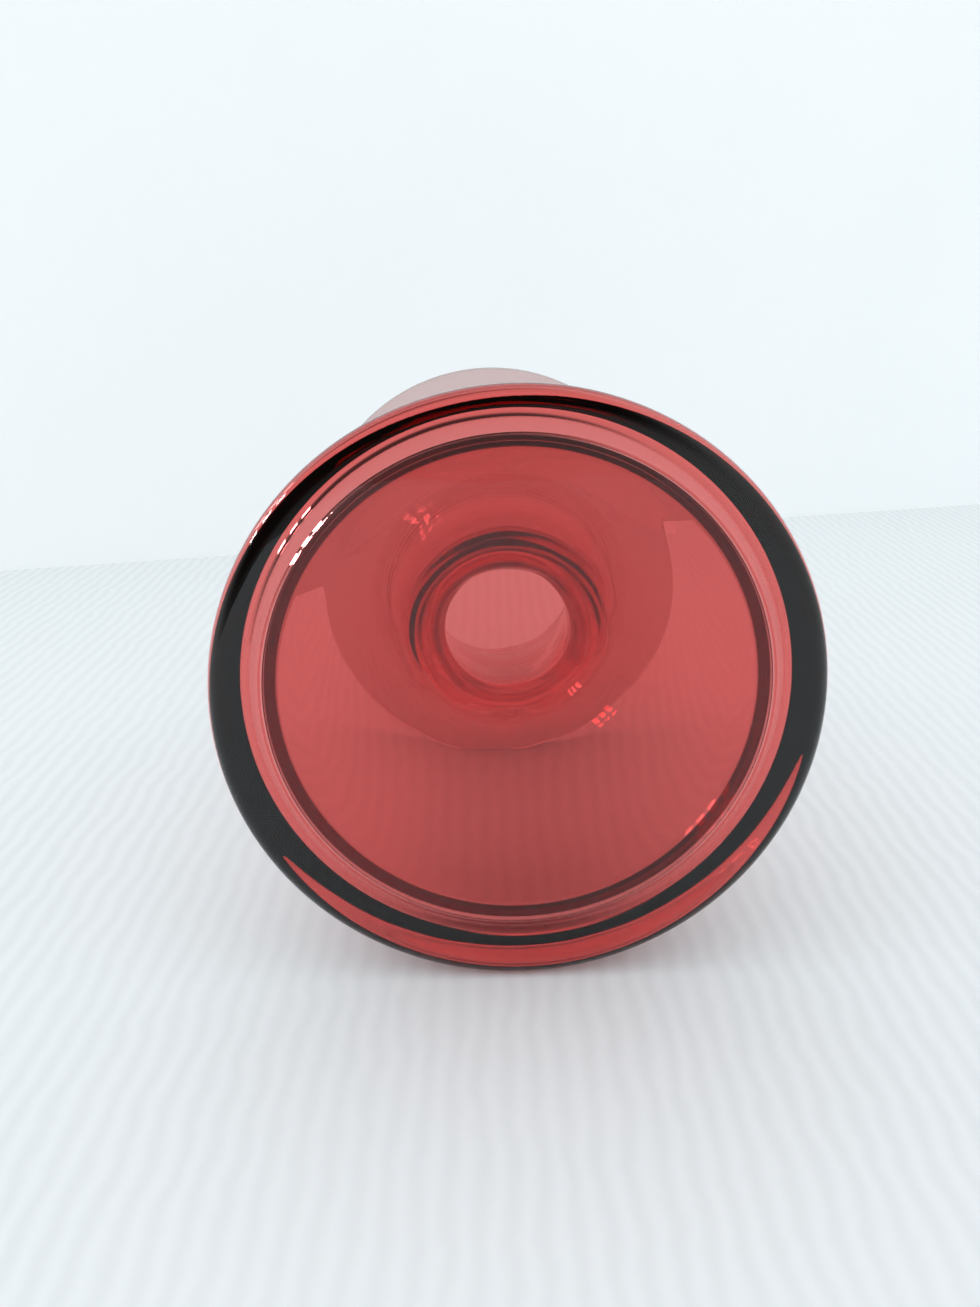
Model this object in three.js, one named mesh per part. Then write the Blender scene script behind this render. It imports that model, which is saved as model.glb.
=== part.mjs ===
// Blown ruby glass vase: a thick flat foot, a squat round bowl, a narrow neck and a wide flared mouth.
// Units are millimetres. +Z is up and the origin is the centre of the flat face that it stands on.
// The real vase is one piece of hot-worked glass. Each mesh here is one zone of the glassmaker's work,
// cut square to the glass, and a small seam keeps each zone apart from the next one.
import * as THREE from 'three';

// Driving dimensions of the outer surface.
const BODY_RADIUS = 65;
const FOOT_FACE_RADIUS = 61;
const WIDEST_HEIGHT = 4;
const NECK_RADIUS = 23;
const NECK_HEIGHT = 68;
const RIM_RADIUS = 60.5;
const RIM_HEIGHT = 162;

// Thickness of the glass, measured square to the outer surface.
const FOOT_THICKNESS = 18;
const BELLY_THICKNESS = 2.5;
const SHOULDER_THICKNESS = 2.5;
const NECK_THICKNESS = 7;
const FLARE_THICKNESS = 4.5;
const RIM_THICKNESS = 2.5;

// Inside, the floor is a wide plateau, with a steep step down to a moat beside the wall.
const FLOOR_FLAT_RADIUS = 51.5;
const STEP_RADIUS = 55;
const STEP_REACH = 0.6;
const MOAT_HEIGHT = 12;
const MOAT_ROUND = 5;

// How far each curve's handles reach, as shares of its own rise or run.
const QUARTER_ROUND = 0.5523;
const BELLY_REACH = 0.5;
const SHOULDER_REACH = 0.4;
const NECK_REACH = 0.75;
const BRIM_REACH = 0.6;
const BRIM_RISE = 4;

// Heights on the outer surface at which one zone ends and the next begins.
const FOOT_TOP = 30;
const BOWL_TOP = 52;
const NECK_TOP = 90;
const FLARE_TOP = 159.5;
const SEAM = 0.3;

// The mouth was shaped by hand, so its edge rises and falls a little.
const WAVES = 5;
const WAVE_HEIGHT = 1.2;
const WAVE_TURN = 0.6;

const SIDES = 48;
const STEP = 5;
const LIP_STEPS = 4;
const ROUND_STEPS = 4;
const SEARCH_TOLERANCE = 0.001;
const RUBY = 0xa3202b;
const GLASS_ROUGHNESS = 0.05;

const point = (radius, height) => new THREE.Vector2(radius, height);

/** A quarter-ellipse-like turn from a level start to an upright end. */
function quarterTurn(start, end) {
  const run = (end.x - start.x) * QUARTER_ROUND;
  const rise = (end.y - start.y) * QUARTER_ROUND;
  return new THREE.CubicBezierCurve(start, point(start.x + run, start.y), point(end.x, end.y - rise), end);
}

/** The outer surface of the wall, from the widest circle up to the rim. */
function outerSurface() {
  const widest = point(BODY_RADIUS, WIDEST_HEIGHT);
  const waist = point(NECK_RADIUS, NECK_HEIGHT);
  const rim = point(RIM_RADIUS, RIM_HEIGHT);
  const bodyRise = NECK_HEIGHT - WIDEST_HEIGHT;
  const flareRise = RIM_HEIGHT - NECK_HEIGHT;
  const brimRun = (RIM_RADIUS - NECK_RADIUS) * BRIM_REACH;
  const surface = new THREE.CurvePath();
  surface.add(new THREE.CubicBezierCurve(
    widest,
    point(BODY_RADIUS, WIDEST_HEIGHT + bodyRise * BELLY_REACH),
    point(NECK_RADIUS, NECK_HEIGHT - bodyRise * SHOULDER_REACH),
    waist,
  ));
  surface.add(new THREE.CubicBezierCurve(
    waist,
    point(NECK_RADIUS, NECK_HEIGHT + flareRise * NECK_REACH),
    point(RIM_RADIUS - brimRun, RIM_HEIGHT - BRIM_RISE),
    rim,
  ));
  return surface;
}

const OUTER = outerSurface();
const OUTER_LENGTH = OUTER.getLength();

/** How far along the outer surface, from 0 to 1, that surface reaches a height. */
function shareAtHeight(height) {
  let low = 0;
  let high = 1;
  while ((high - low) * OUTER_LENGTH > SEARCH_TOLERANCE) {
    const middle = (low + high) / 2;
    if (OUTER.getPoint(middle).y < height) low = middle;
    else high = middle;
  }
  return low;
}

const THICKNESS_STATIONS = [
  [0, BELLY_THICKNESS],
  [shareAtHeight((WIDEST_HEIGHT + NECK_HEIGHT) / 2), SHOULDER_THICKNESS],
  [shareAtHeight(NECK_HEIGHT), NECK_THICKNESS],
  [shareAtHeight((NECK_HEIGHT + RIM_HEIGHT) / 2), FLARE_THICKNESS],
  [1, RIM_THICKNESS],
];

/** Thickness of the glass at a share of the outer surface, eased between the stations. */
function thicknessAt(share) {
  const above = THICKNESS_STATIONS.findIndex(([place]) => share <= place);
  if (above === 0) return BELLY_THICKNESS;
  const [from, before] = THICKNESS_STATIONS[above - 1];
  const [to, after] = THICKNESS_STATIONS[above];
  return before + (after - before) * THREE.MathUtils.smoothstep(share, from, to);
}

/** The point of the inner surface that lies square across the glass from the outer one. */
function innerPoint(share) {
  const across = OUTER.getTangent(share);
  const thickness = thicknessAt(share);
  const outer = OUTER.getPoint(share);
  return point(outer.x - across.y * thickness, outer.y + across.x * thickness);
}

/** Shares from one end of a zone to the other, no more than STEP apart along the glass. */
function sharesBetween(from, to) {
  const steps = Math.ceil(((to - from) * OUTER_LENGTH) / STEP);
  return Array.from({ length: steps + 1 }, (_, i) => from + ((to - from) * i) / steps);
}

/** Lifts each point of the mouth by the wave, which fades out down the neck. */
function addWave(geometry) {
  const place = geometry.getAttribute('position');
  for (let i = 0; i < place.count; i += 1) {
    const fade = THREE.MathUtils.smoothstep(place.getZ(i), NECK_TOP, RIM_HEIGHT);
    const turn = Math.atan2(place.getY(i), place.getX(i));
    const lift = WAVE_HEIGHT * fade * Math.cos(WAVES * turn + WAVE_TURN);
    place.setZ(i, place.getZ(i) + lift);
  }
}

/** Turns an outline about the vertical axis. */
function turned(name, outline) {
  const geometry = new THREE.LatheGeometry(outline, SIDES);
  geometry.rotateX(Math.PI / 2);
  addWave(geometry);
  const glass = new THREE.MeshStandardMaterial({ color: RUBY, roughness: GLASS_ROUGHNESS, metalness: 0 });
  const mesh = new THREE.Mesh(geometry, glass);
  mesh.name = name;
  return mesh;
}

/** The two faces of the wall between two shares: up the outside and back down the inside. */
function wallFaces(from, to) {
  const shares = sharesBetween(from, to);
  return {
    outside: shares.map((share) => OUTER.getPoint(share)),
    inside: shares.map(innerPoint).reverse(),
  };
}

/** A ring of the wall between two shares of the outer surface. */
function wallRing(name, from, to) {
  const { outside, inside } = wallFaces(from, to);
  return turned(name, [...outside, ...inside, outside[0]]);
}

/** The edge of the plateau inside the foot: an S from the moat up to the level floor. */
function floorStep() {
  const low = point(STEP_RADIUS, MOAT_HEIGHT);
  const high = point(FLOOR_FLAT_RADIUS, FOOT_THICKNESS);
  const reach = (low.x - high.x) * STEP_REACH;
  return new THREE.CubicBezierCurve(low, point(low.x - reach, low.y), point(high.x + reach, high.y), high);
}

/** The heavy foot: its flat face, the rounded heel, the first of the wall, the moat and the plateau. */
function foot(to) {
  const heel = quarterTurn(point(FOOT_FACE_RADIUS, 0), point(BODY_RADIUS, WIDEST_HEIGHT));
  const { outside } = wallFaces(0, to);
  const { inside } = wallFaces(shareAtHeight(MOAT_HEIGHT + MOAT_ROUND), to);
  const wallFoot = inside[inside.length - 1];
  const corner = quarterTurn(point(wallFoot.x - MOAT_ROUND, MOAT_HEIGHT), wallFoot);
  return turned('foot', [
    point(0, 0),
    ...heel.getPoints(ROUND_STEPS),
    ...outside.slice(1),
    ...inside,
    ...corner.getPoints(ROUND_STEPS).reverse().slice(1),
    ...floorStep().getPoints(ROUND_STEPS),
    point(0, FOOT_THICKNESS),
  ]);
}

/** The fire-polished lip: the last of the wall, ending in a half-round edge. */
function lip(from) {
  const { outside, inside } = wallFaces(from, 1);
  const edge = OUTER.getPoint(1);
  const middle = edge.clone().add(innerPoint(1)).divideScalar(2);
  const spoke = edge.clone().sub(middle);
  const round = Array.from({ length: LIP_STEPS - 1 }, (_, i) => {
    const turn = (Math.PI * (i + 1)) / LIP_STEPS;
    return spoke.clone().rotateAround(new THREE.Vector2(), turn).add(middle);
  });
  return turned('lip', [...outside, ...round, ...inside, outside[0]]);
}

const vase = new THREE.Group();
const seam = SEAM / OUTER_LENGTH;
const [footEnd, bowlEnd, neckEnd, flareEnd] = [FOOT_TOP, BOWL_TOP, NECK_TOP, FLARE_TOP].map(shareAtHeight);
vase.add(foot(footEnd));
vase.add(wallRing('bowl', footEnd + seam, bowlEnd));
vase.add(wallRing('neck', bowlEnd + seam, neckEnd));
vase.add(wallRing('flared_mouth', neckEnd + seam, flareEnd));
vase.add(lip(flareEnd + seam));

export default vase;
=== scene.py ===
"""Blown ruby glass vase, seen foot first as it lies on a white board, in the frame of the vase that stands.

The vase is one continuous body of glass, so one mesh stands for all of its CAD zones. Its section is worked
out in millimetres, and the mesh is made in metres.
"""
import math

import bpy
from mathutils import Matrix, Vector, noise


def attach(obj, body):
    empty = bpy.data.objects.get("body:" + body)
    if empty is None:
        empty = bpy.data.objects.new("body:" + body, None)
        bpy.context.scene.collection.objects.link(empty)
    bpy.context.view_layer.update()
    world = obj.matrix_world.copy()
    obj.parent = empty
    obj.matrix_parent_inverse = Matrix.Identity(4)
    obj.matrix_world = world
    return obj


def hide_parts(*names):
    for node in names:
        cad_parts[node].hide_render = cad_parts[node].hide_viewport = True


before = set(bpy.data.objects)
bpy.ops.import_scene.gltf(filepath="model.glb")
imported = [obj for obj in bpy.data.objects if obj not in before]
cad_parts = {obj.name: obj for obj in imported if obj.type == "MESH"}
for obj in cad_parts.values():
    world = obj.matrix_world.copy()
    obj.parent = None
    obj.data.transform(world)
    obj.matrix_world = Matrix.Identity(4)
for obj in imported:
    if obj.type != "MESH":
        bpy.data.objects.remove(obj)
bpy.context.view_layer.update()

MM = 0.001

# Outer surface, in millimetres, as it is in the frame.
BODY_RADIUS = 65.0
FOOT_FACE_RADIUS = 61.0
WIDEST_HEIGHT = 4.0
NECK_RADIUS = 23.0
NECK_HEIGHT = 68.0
RIM_RADIUS = 60.5
RIM_HEIGHT = 162.0

# Thickness of the glass, measured square to the outer surface.
FOOT_THICKNESS = 18.0
BELLY_THICKNESS = 2.5
SHOULDER_THICKNESS = 2.5
NECK_THICKNESS = 7.0
FLARE_THICKNESS = 4.5
RIM_THICKNESS = 2.5

# Inside, the floor is a wide plateau, with a steep step down to a moat beside the wall.
FLOOR_FLAT_RADIUS = 51.5
STEP_RADIUS = 55.0
STEP_REACH = 0.6
MOAT_HEIGHT = 12.0
MOAT_ROUND = 5.0

# How far each curve's handles reach, as shares of its own rise or run.
QUARTER_ROUND = 0.5523
BELLY_REACH = 0.5
SHOULDER_REACH = 0.4
NECK_REACH = 0.75
BRIM_REACH = 0.6
BRIM_RISE = 4.0

# Marks of hand work. The unevenness and the tool rings are inside the neck, and fade out at its two ends.
WAVES = 5
WAVE_HEIGHT = 1.2
WAVE_TURN = 0.6
WAVE_START = 90.0
TOOL_RING_DEPTH = 0.1
TOOL_RING_PITCH = 5.5
TOOL_RING_DRIFT = 5.0
DRIFT_SIZE = 22.5
UNEVEN_DEPTH = 0.45
UNEVEN_SIZE = 9.0
UNEVEN_STRETCH = 2.0
WORKED_LOW = (40.0, 60.0)
WORKED_HIGH = (130.0, 150.0)

# Fineness of the mesh.
SIDES = 192
STEP = 1.4
FLAT_STEP = 4.2
LEAST_STEPS = 6
LIP_STEPS = 8

# Ruby glass: its tint, the greyer base colour over its mouth, its fine wear and its ripple, in millimetres.
GLASS_IOR = 1.5
RUBY_DEPTH = "#f1503f"
RUBY_DENSITY = 115.0
PLAIN_SURFACE = "#fffcfc"
GREYER_SURFACE = "#e6e0de"
GREYING_START = 106.0
GREYING_FULL = 124.0
GREYING_PATCH_SIZE = 16.667
GREYING_RAGGEDNESS = 20.0
WEAR_SIZE = 1.111
WEAR_START = 0.62
WEAR_FULL = 0.8
WEAR_ROUGHNESS = 0.06
RIPPLE_SIZE = 22.222
RIPPLE_HEIGHT = 2.0
RIPPLE_STRENGTH = 0.05

# White paint: its tones, and the size of its patches, ribs and brush marks, in millimetres.
BOARD_TONES = ("#eff2f2", "#e3e6e6")
WALL_TONES = ("#fdffff", "#f8fbfb")
PAINT_ROUGHNESS = 0.75
PAINT_SPECULAR = 0.2
PATCH_SIZE = 200.0
RIB_PITCH = 5.4
RIB_WANDER = 3.5
BRUSH_HEIGHT = 0.5
BRUSH_STRENGTH = 0.07

# The stage, in body radii: right, away from the camera and up, from the middle of the widest circle.
RADIUS = BODY_RADIUS * MM
LYING_YAW = math.radians(2.1)
LYING_DROP = math.radians(1.7)
BOARD_SIZE = (24.0, 26.0)
BOARD_MIDDLE = (0.0, -2.4, -1.0)
WALL_SIZE = (24.0, 8.2)
WALL_MIDDLE = (0.0, 6.8, 3.0)
WALL_YAW = math.radians(17.0)
CAMERA_PLACE = (-0.098, -3.188, 1.263)
CAMERA_PITCH = math.radians(19.06)
LENS = 29.14
SENSOR = 36.0
PANE_ROWS = 3
PANE_COLUMNS = 2
PANE_FIRST = (-8.0, 0.1, 3.0)
PANE_SPACING = 0.9
PANE_SIZE = (0.6, 0.5)
PANE_AIM = (0.0, 1.0, -0.2)
PANE_ENERGY = 0.12

# The room. Its dim side has a middle, in the frame of the vase that stands, and fades out around it by the
# cosine of the angle from there.
PALE_ROOM = "#e9eeee"
DIM_ROOM = "#4a3e3b"
DIM_ROOM_DIRECTION = (-0.35, -0.72, -0.6)
DIM_ROOM_EDGE = 0.35
DIM_ROOM_CORE = 0.75
SOFT_LIGHT = "#f6fbff"
LEFT_STRENGTH = 1.5
RIGHT_STRENGTH = 0.8

# Thick clear glass needs many passes of light.
GLASS_BOUNCES = 32
GLOSS_BOUNCES = 12
CLEAR_BOUNCES = 16


def smooth_step(value, low, high):
    """0 below low, 1 above high and an eased rise between them."""
    share = min(1.0, max(0.0, (value - low) / (high - low)))
    return share * share * (3.0 - 2.0 * share)


def curve_points(start, first, second, end):
    """Points of a cubic curve, about STEP apart, without its first one."""
    corners = [Vector(p) for p in (start, first, second, end)]
    hull = sum((b - a).length for a, b in zip(corners, corners[1:]))
    steps = max(LEAST_STEPS, math.ceil(hull / STEP))
    points = []
    for i in range(1, steps + 1):
        t = i / steps
        u = 1.0 - t
        weights = (u ** 3, 3 * u * u * t, 3 * u * t * t, t ** 3)
        points.append(sum((w * c for w, c in zip(weights, corners)), Vector((0.0, 0.0))))
    return points


def heel_points():
    """The rounded heel, from the edge of the flat face out to the widest circle."""
    run = (BODY_RADIUS - FOOT_FACE_RADIUS) * QUARTER_ROUND
    rise = WIDEST_HEIGHT * QUARTER_ROUND
    return curve_points(
        (FOOT_FACE_RADIUS, 0.0),
        (FOOT_FACE_RADIUS + run, 0.0),
        (BODY_RADIUS, WIDEST_HEIGHT - rise),
        (BODY_RADIUS, WIDEST_HEIGHT),
    )


def body_points():
    """The squat bowl and its shoulder, from the widest circle up to the waist of the neck."""
    rise = NECK_HEIGHT - WIDEST_HEIGHT
    return curve_points(
        (BODY_RADIUS, WIDEST_HEIGHT),
        (BODY_RADIUS, WIDEST_HEIGHT + rise * BELLY_REACH),
        (NECK_RADIUS, NECK_HEIGHT - rise * SHOULDER_REACH),
        (NECK_RADIUS, NECK_HEIGHT),
    )


def flare_points():
    """The neck and the mouth, from the waist out to the rim."""
    rise = RIM_HEIGHT - NECK_HEIGHT
    run = (RIM_RADIUS - NECK_RADIUS) * BRIM_REACH
    return curve_points(
        (NECK_RADIUS, NECK_HEIGHT),
        (NECK_RADIUS, NECK_HEIGHT + rise * NECK_REACH),
        (RIM_RADIUS - run, RIM_HEIGHT - BRIM_RISE),
        (RIM_RADIUS, RIM_HEIGHT),
    )


def thickness_at(height):
    """Thickness of the wall where its outer surface is at a height, eased between the stations."""
    stations = (
        (WIDEST_HEIGHT, BELLY_THICKNESS),
        ((WIDEST_HEIGHT + NECK_HEIGHT) / 2, SHOULDER_THICKNESS),
        (NECK_HEIGHT, NECK_THICKNESS),
        ((NECK_HEIGHT + RIM_HEIGHT) / 2, FLARE_THICKNESS),
        (RIM_HEIGHT, RIM_THICKNESS),
    )
    for (low, below), (high, above) in zip(stations, stations[1:]):
        if height <= high:
            return below + (above - below) * smooth_step(height, low, high)
    return RIM_THICKNESS


def inner_wall(outer):
    """The inside of the wall, square across the glass from each point of its outside."""
    points = []
    for i, place in enumerate(outer):
        along = outer[min(i + 1, len(outer) - 1)] - outer[max(i - 1, 0)]
        across = Vector((-along.y, along.x)).normalized()
        points.append(place + across * thickness_at(place.y))
    return [p for p in points if p.y > MOAT_HEIGHT + MOAT_ROUND]


def floor_points(wall_foot):
    """The inside of the foot, from the foot of the inner wall through the moat and over the plateau."""
    corner = Vector((wall_foot.x - MOAT_ROUND, MOAT_HEIGHT))
    rise = wall_foot.y - MOAT_HEIGHT
    turn = curve_points(
        wall_foot,
        wall_foot - Vector((0.0, rise * QUARTER_ROUND)),
        corner + Vector((MOAT_ROUND * QUARTER_ROUND, 0.0)),
        corner,
    )
    foot_of_step = Vector((STEP_RADIUS, MOAT_HEIGHT))
    moat_steps = max(1, round((corner.x - foot_of_step.x) / STEP))
    moat = [corner.lerp(foot_of_step, i / moat_steps) for i in range(1, moat_steps + 1)]
    top = Vector((FLOOR_FLAT_RADIUS, FOOT_THICKNESS))
    reach = Vector(((STEP_RADIUS - FLOOR_FLAT_RADIUS) * STEP_REACH, 0.0))
    step = curve_points(foot_of_step, foot_of_step - reach, top + reach, top)
    flat_steps = round(FLOOR_FLAT_RADIUS / FLAT_STEP)
    flat = [Vector((top.x * (1 - i / flat_steps), top.y)) for i in range(1, flat_steps)]
    return turn + moat + step + flat


def lip_points(outside, inside):
    """The half-round, fire-polished edge between the two sides of the rim."""
    middle = (outside + inside) / 2
    spoke = outside - middle
    points = []
    for i in range(1, LIP_STEPS):
        turn = Matrix.Rotation(math.pi * i / LIP_STEPS, 2)
        points.append(middle + turn @ spoke)
    return points


def vase_outline():
    """The outer and the inner side of the section, in millimetres. The lip belongs to the outer one."""
    face_steps = round(FOOT_FACE_RADIUS / FLAT_STEP)
    face = [Vector((FOOT_FACE_RADIUS * i / face_steps, 0.0)) for i in range(1, face_steps + 1)]
    wall = body_points() + flare_points()
    inside = inner_wall(wall)
    outside = face + heel_points() + wall
    lip = lip_points(outside[-1], inside[-1])
    inner_side = list(reversed(inside))
    return outside + lip, inner_side + floor_points(inner_side[-1])


def hand_worked(radius, height, turn, is_inner):
    """A point of the glass, moved as the glassmaker's hand left it."""
    lift = WAVE_HEIGHT * smooth_step(height, WAVE_START, RIM_HEIGHT) * math.cos(WAVES * turn + WAVE_TURN)
    if is_inner:
        in_neck = smooth_step(height, *WORKED_LOW) * (1.0 - smooth_step(height, *WORKED_HIGH))
        around = Vector((math.cos(turn), math.sin(turn), 0.0)) * radius
        spot = around + Vector((0.0, 0.0, height / UNEVEN_STRETCH))
        uneven = noise.noise(spot / UNEVEN_SIZE) * UNEVEN_DEPTH
        drift = noise.noise(spot / DRIFT_SIZE) * TOOL_RING_DRIFT
        rings = math.sin(2 * math.pi * height / TOOL_RING_PITCH + drift) * TOOL_RING_DEPTH
        radius += in_neck * (uneven + rings)
    return Vector((radius * math.cos(turn), radius * math.sin(turn), height + lift)) * MM


def turned_mesh(name):
    """The closed surface of the glass, turned about the vertical axis."""
    outer, inner = vase_outline()
    rings = [(p, False) for p in outer] + [(p, True) for p in inner]
    verts = [Vector((0.0, 0.0, 0.0))]
    for place, is_inner in rings:
        for side in range(SIDES):
            turn = 2 * math.pi * side / SIDES
            verts.append(hand_worked(place.x, place.y, turn, is_inner))
    verts.append(Vector((0.0, 0.0, FOOT_THICKNESS * MM)))
    faces = []
    for side in range(SIDES):
        after = (side + 1) % SIDES
        faces.append((0, 1 + after, 1 + side))
        for ring in range(len(rings) - 1):
            low = 1 + ring * SIDES
            high = low + SIDES
            faces.append((low + side, low + after, high + after, high + side))
        last = 1 + (len(rings) - 1) * SIDES
        faces.append((last + side, last + after, len(verts) - 1))
    mesh = bpy.data.meshes.new(name)
    mesh.from_pydata(verts, [], faces)
    mesh.shade_smooth()
    return mesh


def linear(hex_colour):
    """An sRGB hex colour as linear red, green, blue and alpha."""
    channels = [int(hex_colour[i:i + 2], 16) / 255 for i in (1, 3, 5)]
    return [c / 12.92 if c <= 0.04045 else ((c + 0.055) / 1.055) ** 2.4 for c in channels] + [1.0]


def add(tree, kind, settings=None, **inputs):
    """Adds a node. An input takes a value, or a socket that it is linked from.

    An input goes by its name, with _ for a space, or by i and its number.
    """
    node = tree.nodes.new(kind)
    for key, value in (settings or {}).items():
        setattr(node, key, value)
    for key, value in inputs.items():
        by_number = key[0] == "i" and key[1:].isdigit()
        socket = node.inputs[int(key[1:]) if by_number else key.replace("_", " ")]
        if isinstance(value, bpy.types.NodeSocket):
            tree.links.new(value, socket)
        else:
            socket.default_value = value
    return node


def scale_of(size):
    """The scale of a noise texture whose features are about a size in millimetres."""
    return 1.0 / (size * MM)


def ruby_glass():
    """Ruby soda-lime glass, blown and fire-polished, coloured all through.

    The depth of colour comes from how much glass the light crosses: deep in the thick foot and pale in the
    thin lip. The polish has a faint ripple and fine scattered wear, and the base colour is greyer over the
    mouth.
    """
    material = bpy.data.materials.new("ruby_glass_blown")
    material.use_nodes = True
    tree = material.node_tree
    shader = tree.nodes["Principled BSDF"]
    shader.inputs["Transmission Weight"].default_value = 1.0
    shader.inputs["IOR"].default_value = GLASS_IOR
    place = add(tree, "ShaderNodeTexCoord").outputs["Object"]
    height = add(tree, "ShaderNodeSeparateXYZ", Vector=place).outputs["Z"]
    # The base colour turns greyer over the mouth, from a ragged edge upwards.
    patch = add(tree, "ShaderNodeTexNoise", Vector=place, Scale=scale_of(GREYING_PATCH_SIZE), Detail=2.0)
    ragged = add(tree, "ShaderNodeMath", {"operation": "MULTIPLY_ADD"}, i0=patch.outputs["Fac"],
                 i1=GREYING_RAGGEDNESS * MM, i2=height)
    greying = add(tree, "ShaderNodeMapRange", {"interpolation_type": "SMOOTHSTEP"}, Value=ragged.outputs[0],
               From_Min=GREYING_START * MM, From_Max=GREYING_FULL * MM)
    tint = add(tree, "ShaderNodeMix", {"data_type": "RGBA"}, Factor=greying.outputs[0],
               i6=linear(PLAIN_SURFACE), i7=linear(GREYER_SURFACE))
    tree.links.new(tint.outputs[2], shader.inputs["Base Color"])
    wear = add(tree, "ShaderNodeTexNoise", Vector=place, Scale=scale_of(WEAR_SIZE), Detail=3.0)
    rough = add(tree, "ShaderNodeMapRange", Value=wear.outputs["Fac"], From_Min=WEAR_START,
                From_Max=WEAR_FULL, To_Min=0.0, To_Max=WEAR_ROUGHNESS)
    tree.links.new(rough.outputs[0], shader.inputs["Roughness"])
    ripple = add(tree, "ShaderNodeTexNoise", Vector=place, Scale=scale_of(RIPPLE_SIZE), Detail=1.0)
    bump = add(tree, "ShaderNodeBump", Strength=RIPPLE_STRENGTH, Distance=RIPPLE_HEIGHT * MM,
               Height=ripple.outputs["Fac"])
    tree.links.new(bump.outputs[0], shader.inputs["Normal"])
    depth = add(tree, "ShaderNodeVolumeAbsorption", Color=linear(RUBY_DEPTH), Density=RUBY_DENSITY)
    tree.links.new(depth.outputs[0], tree.nodes["Material Output"].inputs["Volume"])
    return material


def painted_board(name, tones, ribbed):
    """White painted board, brushed into ribs or left smooth.

    It shows only from its front, so that it hides nothing. A wave texture of scale 1 has a band every
    pi / 10 metres.
    """
    material = bpy.data.materials.new(name)
    material.use_nodes = True
    tree = material.node_tree
    shader = tree.nodes["Principled BSDF"]
    shader.inputs["Roughness"].default_value = PAINT_ROUGHNESS
    shader.inputs["Specular IOR Level"].default_value = PAINT_SPECULAR
    place = add(tree, "ShaderNodeTexCoord").outputs["Object"]
    patches = add(tree, "ShaderNodeTexNoise", Vector=place, Scale=scale_of(PATCH_SIZE), Detail=3.0)
    relief = patches
    if ribbed:
        relief = add(tree, "ShaderNodeTexWave", {"bands_direction": "X"}, Vector=place,
                     Scale=math.pi / 10 / (RIB_PITCH * MM), Distortion=RIB_WANDER, Detail=4.0)
    shade = add(tree, "ShaderNodeMath", {"operation": "MULTIPLY"}, i0=relief.outputs["Fac"],
                i1=patches.outputs["Fac"])
    tone = add(tree, "ShaderNodeMix", {"data_type": "RGBA"}, Factor=shade.outputs[0],
               i6=linear(tones[0]), i7=linear(tones[1]))
    tree.links.new(tone.outputs[2], shader.inputs["Base Color"])
    bump = add(tree, "ShaderNodeBump", Strength=BRUSH_STRENGTH, Distance=BRUSH_HEIGHT * MM,
               Height=relief.outputs["Fac"])
    tree.links.new(bump.outputs[0], shader.inputs["Normal"])
    back = add(tree, "ShaderNodeNewGeometry").outputs["Backfacing"]
    clear = add(tree, "ShaderNodeBsdfTransparent")
    mixed = add(tree, "ShaderNodeMixShader", i0=back, i1=shader.outputs[0], i2=clear.outputs[0])
    tree.links.new(mixed.outputs[0], tree.nodes["Material Output"].inputs["Surface"])
    return material


def lying_frame():
    """From the stage's axes (right, away, up) to the frame of the vase that stands on its foot."""
    turned = Matrix(((1, 0, 0), (0, 0, -1), (0, 1, 0)))
    lying = Vector((-math.sin(LYING_YAW), math.cos(LYING_YAW), -math.sin(LYING_DROP))).normalized()
    level = (turned @ lying).rotation_difference(Vector((0, 0, 1)))
    return Matrix.Translation((0, 0, WIDEST_HEIGHT * MM)) @ level.to_matrix().to_4x4() @ turned.to_4x4()


STAGE = lying_frame()


def on_stage(thing, place, rotation):
    """Puts a thing at a place on the stage, given in body radii."""
    thing.matrix_world = STAGE @ Matrix.Translation(Vector(place) * RADIUS) @ rotation


def backdrop(name, size, place, rotation, material):
    """A flat sheet of the stage."""
    half_width = size[0] * RADIUS / 2
    half_depth = size[1] * RADIUS / 2
    corners = [(-half_width, -half_depth, 0), (half_width, -half_depth, 0),
               (half_width, half_depth, 0), (-half_width, half_depth, 0)]
    mesh = bpy.data.meshes.new(name)
    mesh.from_pydata(corners, [], [(0, 1, 2, 3)])
    mesh.materials.append(material)
    sheet = bpy.data.objects.new(name, mesh)
    bpy.context.scene.collection.objects.link(sheet)
    on_stage(sheet, place, rotation)


def window_pane(name, place):
    """A small bright pane that shows only as a glint on the glass."""
    light = bpy.data.lights.new(name, "AREA")
    light.shape = "RECTANGLE"
    light.size = PANE_SIZE[0] * RADIUS
    light.size_y = PANE_SIZE[1] * RADIUS
    light.energy = PANE_ENERGY
    lamp = bpy.data.objects.new(name, light)
    bpy.context.scene.collection.objects.link(lamp)
    towards = (Vector(PANE_AIM) - Vector(place)).normalized()
    on_stage(lamp, place, towards.to_track_quat("-Z", "Y").to_matrix().to_4x4())
    lamp.visible_camera = False
    lamp.visible_diffuse = False


def make_window():
    """The panes of one window, in rows and columns."""
    right, away, up = PANE_FIRST
    for row in range(PANE_ROWS):
        for column in range(PANE_COLUMNS):
            place = (right, away + PANE_SPACING * column, up + PANE_SPACING * row)
            window_pane(f"pane_{row}_{column}", place)


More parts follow.
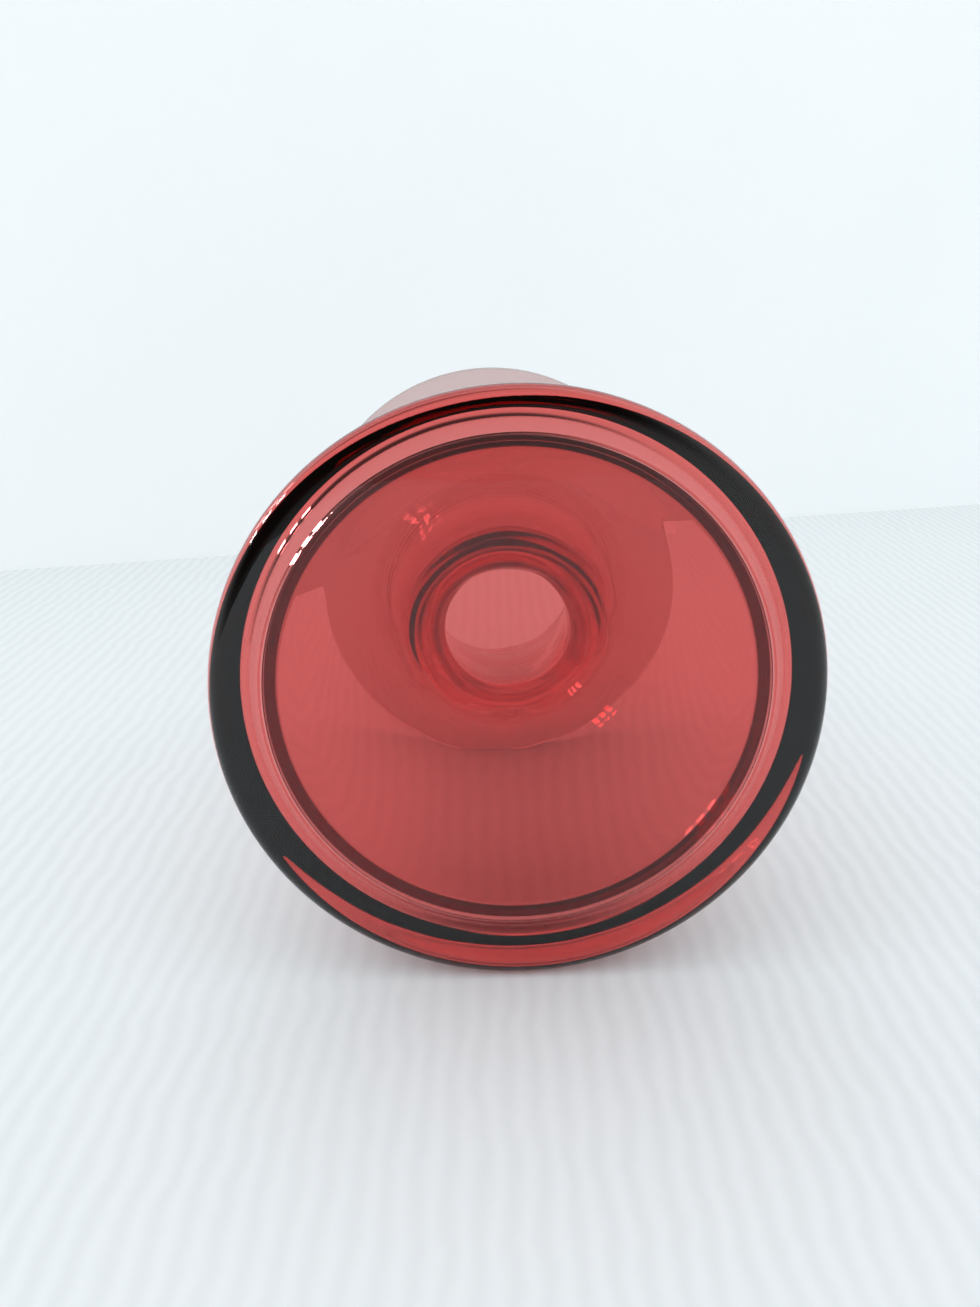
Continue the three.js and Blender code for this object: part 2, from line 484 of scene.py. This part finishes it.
def make_world():
    """Soft light from all round, with a dim room behind the foot for the glass to reflect.

    Light that has already met a matt surface finds an even, brighter room, so that the board under the glass
    isn't left too dark.
    """
    world = bpy.data.worlds.new("soft_studio")
    bpy.context.scene.world = world
    world.use_nodes = True
    tree = world.node_tree
    tree.nodes.clear()
    direction = add(tree, "ShaderNodeTexCoord").outputs["Generated"]
    parts = add(tree, "ShaderNodeSeparateXYZ", Vector=direction)
    towards = add(tree, "ShaderNodeVectorMath", {"operation": "DOT_PRODUCT"}, i0=direction,
                  i1=DIM_ROOM_DIRECTION)
    dim = add(tree, "ShaderNodeMapRange", {"interpolation_type": "SMOOTHSTEP"},
              Value=towards.outputs["Value"], From_Min=DIM_ROOM_EDGE, From_Max=DIM_ROOM_CORE)
    room = add(tree, "ShaderNodeMix", {"data_type": "RGBA"}, Factor=dim.outputs[0],
               i6=linear(PALE_ROOM), i7=linear(DIM_ROOM))
    side = add(tree, "ShaderNodeMapRange", Value=parts.outputs["X"], From_Min=-1.0, From_Max=1.0,
               To_Min=LEFT_STRENGTH, To_Max=RIGHT_STRENGTH)
    paths = add(tree, "ShaderNodeLightPath")
    bounced = add(tree, "ShaderNodeMath", {"operation": "GREATER_THAN"},
                  i0=paths.outputs["Diffuse Depth"], i1=0.5)
    seen = add(tree, "ShaderNodeMix", {"data_type": "RGBA"}, Factor=paths.outputs["Is Camera Ray"],
               i6=room.outputs[2], i7=linear(PALE_ROOM))
    shown = add(tree, "ShaderNodeBackground", Color=seen.outputs[2], Strength=1.0)
    lighting = add(tree, "ShaderNodeBackground", Color=linear(SOFT_LIGHT), Strength=side.outputs[0])
    mixed = add(tree, "ShaderNodeMixShader", i0=bounced.outputs[0], i1=shown.outputs[0],
                i2=lighting.outputs[0])
    add(tree, "ShaderNodeOutputWorld", Surface=mixed.outputs[0])


def make_camera():
    """Looks down a little at the foot of the vase that lies on the board."""
    data = bpy.data.cameras.new("camera")
    data.sensor_fit = "VERTICAL"
    data.sensor_width = SENSOR
    data.sensor_height = SENSOR
    data.lens = LENS
    data.clip_start = MM
    camera = bpy.data.objects.new("camera", data)
    bpy.context.scene.collection.objects.link(camera)
    on_stage(camera, CAMERA_PLACE, Matrix.Rotation(math.pi / 2 - CAMERA_PITCH, 4, "X"))
    bpy.context.scene.camera = camera


def make_stage():
    """The white board that the vase lies on, the wall behind it, the light and the camera."""
    board = painted_board("white_board_ribbed", BOARD_TONES, True)
    wall = painted_board("white_wall_painted", WALL_TONES, False)
    upright = Matrix.Rotation(WALL_YAW, 4, "Z") @ Matrix.Rotation(math.pi / 2, 4, "X")
    backdrop("board", BOARD_SIZE, BOARD_MIDDLE, Matrix.Identity(4), board)
    backdrop("wall", WALL_SIZE, WALL_MIDDLE, upright, wall)
    make_window()
    make_world()
    make_camera()
    bpy.context.scene.view_settings.view_transform = "Standard"
    cycles = bpy.context.scene.cycles
    cycles.max_bounces = GLASS_BOUNCES
    cycles.transmission_bounces = GLASS_BOUNCES
    cycles.glossy_bounces = GLOSS_BOUNCES
    cycles.transparent_max_bounces = CLEAR_BOUNCES


def make_vase():
    """The one piece of glass, in place of all of its zones."""
    vase = bpy.data.objects.new("ruby_glass_vase", turned_mesh("ruby_glass_vase"))
    bpy.context.scene.collection.objects.link(vase)
    vase.data.materials.append(ruby_glass())
    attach(vase, "root")
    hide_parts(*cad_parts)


make_stage()
make_vase()
